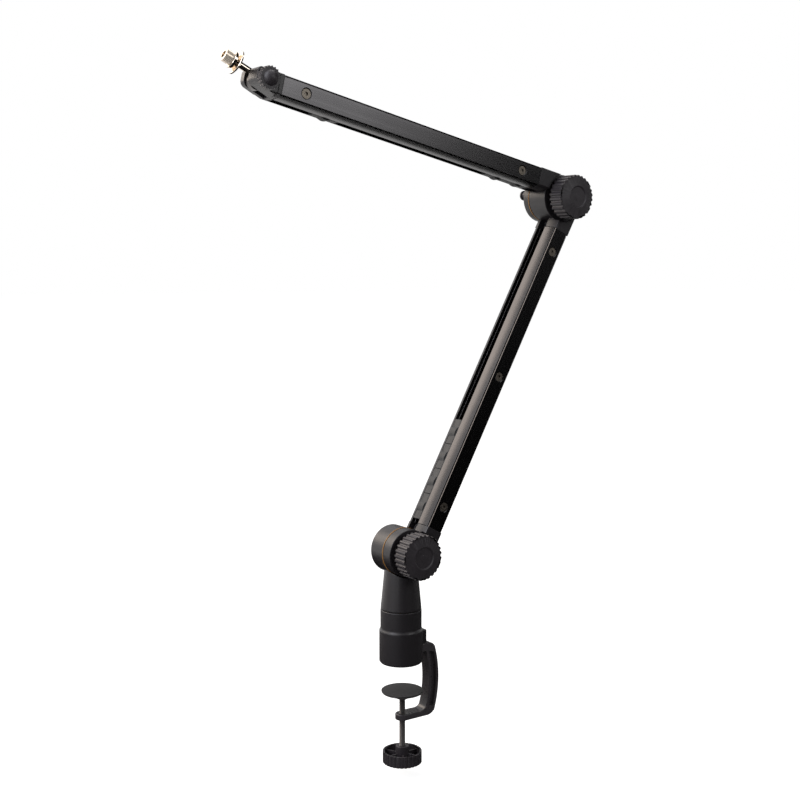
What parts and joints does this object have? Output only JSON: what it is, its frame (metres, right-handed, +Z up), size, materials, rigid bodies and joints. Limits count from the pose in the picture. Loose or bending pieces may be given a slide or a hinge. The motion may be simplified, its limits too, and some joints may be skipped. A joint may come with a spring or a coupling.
{
  "type": "microphone boom arm",
  "caption": "Desk-clamp microphone boom arm: channelled lower and upper arms on friction pivots with hand knobs, swivelling post, screw clamp and threaded tip.",
  "frame": {"origin": "centre of the upper clamp jaw's face, where it sits on the desk, on the post's swivel axis", "axes": "+Z up along the swivel axis, arms in the XZ plane with the elbow towards +X, knobs on -Y"},
  "size_m": [0.5416, 0.0895, 0.9117],
  "materials": {
    "anodised_tube": "satin black anodised",
    "cast_black": "satin charcoal powder coat",
    "knob_plastic": "satin",
    "clip_plastic": "satin",
    "black_steel": "black oxide",
    "plain_steel": "zinc plated",
    "bearing_plastic": "amber nylon",
    "pad_rubber": "matt",
    "nickel": "bright nickel"
  },
  "bodies": {
    "desk_clamp": {"clamp_collar": "cast_black", "jaw_pad": "pad_rubber", "swivel_bush": "bearing_plastic", "swivel_washer": "bearing_plastic", "clamp_bracket": "cast_black", "bracket_screw": "black_steel", "bracket_dowel": "black_steel", "thread_bush": "black_steel"},
    "clamp_pad": {"clamp_pad": "black_steel", "pad_liner": "pad_rubber"},
    "clamp_screw": {"clamp_screw": "black_steel", "clamp_grip": "knob_plastic", "grip_nut": "plain_steel"},
    "post": {"post": "cast_black", "swivel_spindle": "plain_steel", "spindle_clip": "plain_steel", "base_bolt": "plain_steel", "base_friction_disc": "bearing_plastic", "base_thrust_washer": "plain_steel", "base_spring_washer": "plain_steel", "base_outer_washer": "plain_steel"},
    "base_knob": {"base_knob": "knob_plastic", "base_knob_nut": "plain_steel"},
    "lower_arm": {"lower_tube": "anodised_tube", "lower_base_cap": "cast_black", "lower_elbow_cap": "cast_black", "lower_mid_block": "knob_plastic", "lower_screw_1": "black_steel", "lower_screw_2": "black_steel", "lower_screw_3": "black_steel", "lower_clip_1": "clip_plastic", "lower_clip_2": "clip_plastic", "lower_clip_3": "clip_plastic", "lower_clip_4": "clip_plastic"},
    "upper_arm": {"upper_tube": "anodised_tube", "upper_elbow_cap": "cast_black", "upper_tip_cap": "cast_black", "cable_peg": "knob_plastic", "upper_screw_1": "black_steel", "upper_screw_2": "black_steel", "upper_clip_1": "clip_plastic", "upper_clip_2": "clip_plastic", "upper_clip_3": "clip_plastic", "elbow_bolt": "plain_steel", "elbow_friction_disc": "bearing_plastic", "elbow_thrust_washer": "plain_steel", "elbow_spring_washer": "plain_steel", "elbow_outer_washer": "plain_steel", "tip_bolt": "plain_steel", "tip_washer_far": "plain_steel", "tip_washer_near": "plain_steel"},
    "elbow_knob": {"elbow_knob": "knob_plastic", "elbow_knob_nut": "plain_steel"},
    "tip": {"tip_stem": "nickel"},
    "tip_knob": {"tip_knob": "knob_plastic", "tip_knob_nut": "plain_steel"},
    "lock_ring": {"lock_ring": "nickel"},
    "mic_adapter": {"mic_adapter": "nickel"}
  },
  "joints": [
    {"name": "clamp_travel", "type": "slide", "parent": "desk_clamp", "child": "clamp_pad", "axis": [0, 0, 1], "range_m": [-0.018, 0.036]},
    {"name": "clamp_screw_turn", "type": "hinge", "parent": "clamp_pad", "child": "clamp_screw", "pos_m": [0.002, 0, -0.076], "axis": [0, 0, 1], "range_deg": [-5185, 10369]},
    {"name": "post_swivel", "type": "hinge", "parent": "desk_clamp", "child": "post", "pos_m": [0, 0, 0.07], "axis": [0, 0, 1], "continuous": true},
    {"name": "base_knob_turn", "type": "hinge", "parent": "post", "child": "base_knob", "pos_m": [0, 0, 0.15], "axis": [0, -1, 0], "continuous": true},
    {"name": "base_pitch", "type": "hinge", "parent": "post", "child": "lower_arm", "pos_m": [0, 0, 0.15], "axis": [0, -1, 0], "range_deg": [-45, 80]},
    {"name": "elbow_pitch", "type": "hinge", "parent": "lower_arm", "child": "upper_arm", "pos_m": [0.25726, 0, 0.61795], "axis": [0, -1, 0], "range_deg": [-105, 60]},
    {"name": "elbow_knob_turn", "type": "hinge", "parent": "upper_arm", "child": "elbow_knob", "pos_m": [0.25726, 0, 0.61795], "axis": [0, -1, 0], "continuous": true},
    {"name": "tip_tilt", "type": "hinge", "parent": "upper_arm", "child": "tip", "pos_m": [-0.20773, 0, 0.73824], "axis": [0, -1, 0], "range_deg": [-70, 100]},
    {"name": "tip_knob_turn", "type": "hinge", "parent": "upper_arm", "child": "tip_knob", "pos_m": [-0.20773, 0, 0.73824], "axis": [0, -1, 0], "continuous": true},
    {"name": "lock_ring_turn", "type": "hinge", "parent": "tip", "child": "lock_ring", "pos_m": [-0.20488, -0.001, 0.74408], "axis": [-0.8988, 0, 0.4384], "continuous": true},
    {"name": "adapter_turn", "type": "hinge", "parent": "tip", "child": "mic_adapter", "pos_m": [-0.20488, -0.001, 0.74408], "axis": [-0.8988, 0, 0.4384], "continuous": true}
  ],
  "couplings": [
    {"joint": "clamp_screw_turn", "follows": "clamp_travel", "rad_per_m": 5026.5}
  ]
}
